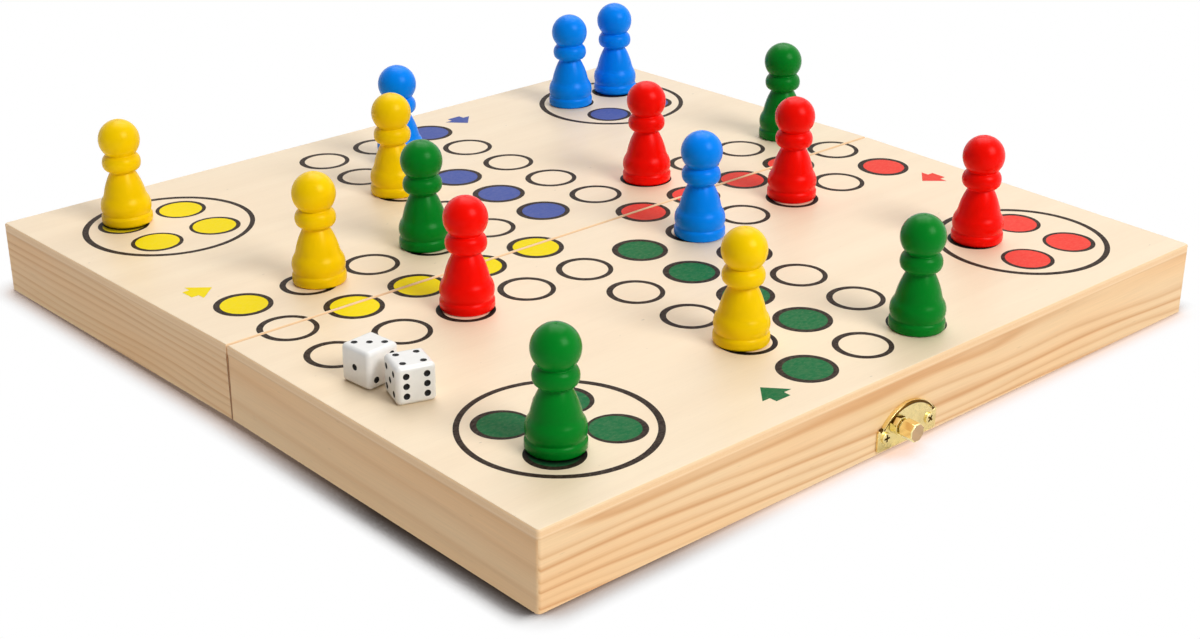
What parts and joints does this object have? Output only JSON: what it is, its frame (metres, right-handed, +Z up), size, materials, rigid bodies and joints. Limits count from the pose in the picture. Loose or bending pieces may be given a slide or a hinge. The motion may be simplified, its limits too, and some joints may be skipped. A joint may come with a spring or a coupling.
{
  "type": "folding ludo board box",
  "caption": "Folding wooden box that opens into a printed ludo board, with brass butt hinges and a brass stud catch on its walls, and turned pawns and dice standing on it.",
  "frame": {"origin": "middle of the fold line, on the table under the open board", "axes": "+X along the fold line, +Y towards the half with the swing hook, +Z up; the open board's printed side faces up"},
  "size_m": [0.29, 0.3088, 0.0639],
  "materials": {
    "panel_wood": "pale fine-grained plywood, sealed satin, with the game printed in translucent inks",
    "pine": "sanded pine with a thin clear satin coat",
    "brass": "bright brass plating on pressed and turned steel",
    "lacquer_yellow": "turned wood under thick glossy yellow lacquer",
    "lacquer_blue": "turned wood under thick glossy blue lacquer",
    "lacquer_green": "turned wood under thick glossy green lacquer",
    "lacquer_red": "turned wood under thick glossy red lacquer",
    "white_dice": "opaque white moulded plastic with black paint in the pips"
  },
  "bodies": {
    "far_half": {"far_top_panel": "panel_wood", "far_outer_wall": "pine", "far_hinge_wall": "pine", "far_left_wall": "pine", "far_right_wall": "pine", "far_hinge_screws": "brass", "left_hinge_far_leaf": "brass", "right_hinge_far_leaf": "brass", "left_hinge_pin": "brass", "right_hinge_pin": "brass", "hook_plate": "brass", "hook_plate_screws": "brass", "hook_pivot_stud": "brass"},
    "near_half": {"near_top_panel": "panel_wood", "near_outer_wall": "pine", "near_hinge_wall": "pine", "near_left_wall": "pine", "near_right_wall": "pine", "near_hinge_screws": "brass", "left_hinge_near_leaf": "brass", "right_hinge_near_leaf": "brass", "stud_plate": "brass", "stud_plate_screws": "brass", "catch_stud": "brass"},
    "swing_hook": {"swing_hook": "brass"},
    "yellow_pawn_1": {"yellow_pawn_1": "lacquer_yellow"},
    "yellow_pawn_2": {"yellow_pawn_2": "lacquer_yellow"},
    "yellow_pawn_3": {"yellow_pawn_3": "lacquer_yellow"},
    "yellow_pawn_4": {"yellow_pawn_4": "lacquer_yellow"},
    "blue_pawn_1": {"blue_pawn_1": "lacquer_blue"},
    "blue_pawn_2": {"blue_pawn_2": "lacquer_blue"},
    "blue_pawn_3": {"blue_pawn_3": "lacquer_blue"},
    "blue_pawn_4": {"blue_pawn_4": "lacquer_blue"},
    "green_pawn_1": {"green_pawn_1": "lacquer_green"},
    "green_pawn_2": {"green_pawn_2": "lacquer_green"},
    "green_pawn_3": {"green_pawn_3": "lacquer_green"},
    "green_pawn_4": {"green_pawn_4": "lacquer_green"},
    "red_pawn_1": {"red_pawn_1": "lacquer_red"},
    "red_pawn_2": {"red_pawn_2": "lacquer_red"},
    "red_pawn_3": {"red_pawn_3": "lacquer_red"},
    "red_pawn_4": {"red_pawn_4": "lacquer_red"},
    "die_left": {"die_left": "white_dice"},
    "die_right": {"die_right": "white_dice"}
  },
  "joints": [
    {"name": "fold_hinge", "type": "hinge", "parent": "far_half", "child": "near_half", "pos_m": [0, 0, 0.0021], "axis": [1, 0, 0], "range_deg": [-1.5, 178.3]},
    {"name": "catch_hook_swing", "type": "hinge", "parent": "far_half", "child": "swing_hook", "pos_m": [0.0047, 0.15026, 0.00852], "axis": [0, -0.9999, 0.0145], "range_deg": [-90, 56.4]},
    {"name": "lift_yellow_pawn_1", "type": "slide", "parent": "far_half", "child": "yellow_pawn_1", "axis": [0, 0.0145, 0.9999], "range_m": [0, 0.06]},
    {"name": "lift_yellow_pawn_2", "type": "slide", "parent": "far_half", "child": "yellow_pawn_2", "axis": [0, 0.0145, 0.9999], "range_m": [0, 0.06]},
    {"name": "lift_yellow_pawn_3", "type": "slide", "parent": "far_half", "child": "yellow_pawn_3", "axis": [0, 0.0145, 0.9999], "range_m": [0, 0.06]},
    {"name": "lift_yellow_pawn_4", "type": "slide", "parent": "near_half", "child": "yellow_pawn_4", "axis": [0, -0.0145, 0.9999], "range_m": [0, 0.06]},
    {"name": "lift_blue_pawn_1", "type": "slide", "parent": "far_half", "child": "blue_pawn_1", "axis": [0, 0.0145, 0.9999], "range_m": [0, 0.06]},
    {"name": "lift_blue_pawn_2", "type": "slide", "parent": "far_half", "child": "blue_pawn_2", "axis": [0, 0.0145, 0.9999], "range_m": [0, 0.06]},
    {"name": "lift_blue_pawn_3", "type": "slide", "parent": "far_half", "child": "blue_pawn_3", "axis": [0, 0.0145, 0.9999], "range_m": [0, 0.06]},
    {"name": "lift_blue_pawn_4", "type": "slide", "parent": "near_half", "child": "blue_pawn_4", "axis": [0, -0.0145, 0.9999], "range_m": [0, 0.06]},
    {"name": "lift_green_pawn_1", "type": "slide", "parent": "far_half", "child": "green_pawn_1", "axis": [0, 0.0145, 0.9999], "range_m": [0, 0.06]},
    {"name": "lift_green_pawn_2", "type": "slide", "parent": "far_half", "child": "green_pawn_2", "axis": [0, 0.0145, 0.9999], "range_m": [0, 0.06]},
    {"name": "lift_green_pawn_3", "type": "slide", "parent": "near_half", "child": "green_pawn_3", "axis": [0, -0.0145, 0.9999], "range_m": [0, 0.06]},
    {"name": "lift_green_pawn_4", "type": "slide", "parent": "near_half", "child": "green_pawn_4", "axis": [0, -0.0145, 0.9999], "range_m": [0, 0.06]},
    {"name": "lift_red_pawn_1", "type": "slide", "parent": "near_half", "child": "red_pawn_1", "axis": [0, -0.0145, 0.9999], "range_m": [0, 0.06]},
    {"name": "lift_red_pawn_2", "type": "slide", "parent": "far_half", "child": "red_pawn_2", "axis": [0, 0.0145, 0.9999], "range_m": [0, 0.06]},
    {"name": "lift_red_pawn_3", "type": "slide", "parent": "near_half", "child": "red_pawn_3", "axis": [0, -0.0145, 0.9999], "range_m": [0, 0.06]},
    {"name": "lift_red_pawn_4", "type": "slide", "parent": "near_half", "child": "red_pawn_4", "axis": [0, -0.0145, 0.9999], "range_m": [0, 0.06]},
    {"name": "lift_die_left", "type": "slide", "parent": "near_half", "child": "die_left", "axis": [0, -0.0145, 0.9999], "range_m": [0, 0.06]},
    {"name": "lift_die_right", "type": "slide", "parent": "near_half", "child": "die_right", "axis": [0, -0.0145, 0.9999], "range_m": [0, 0.06]}
  ]
}
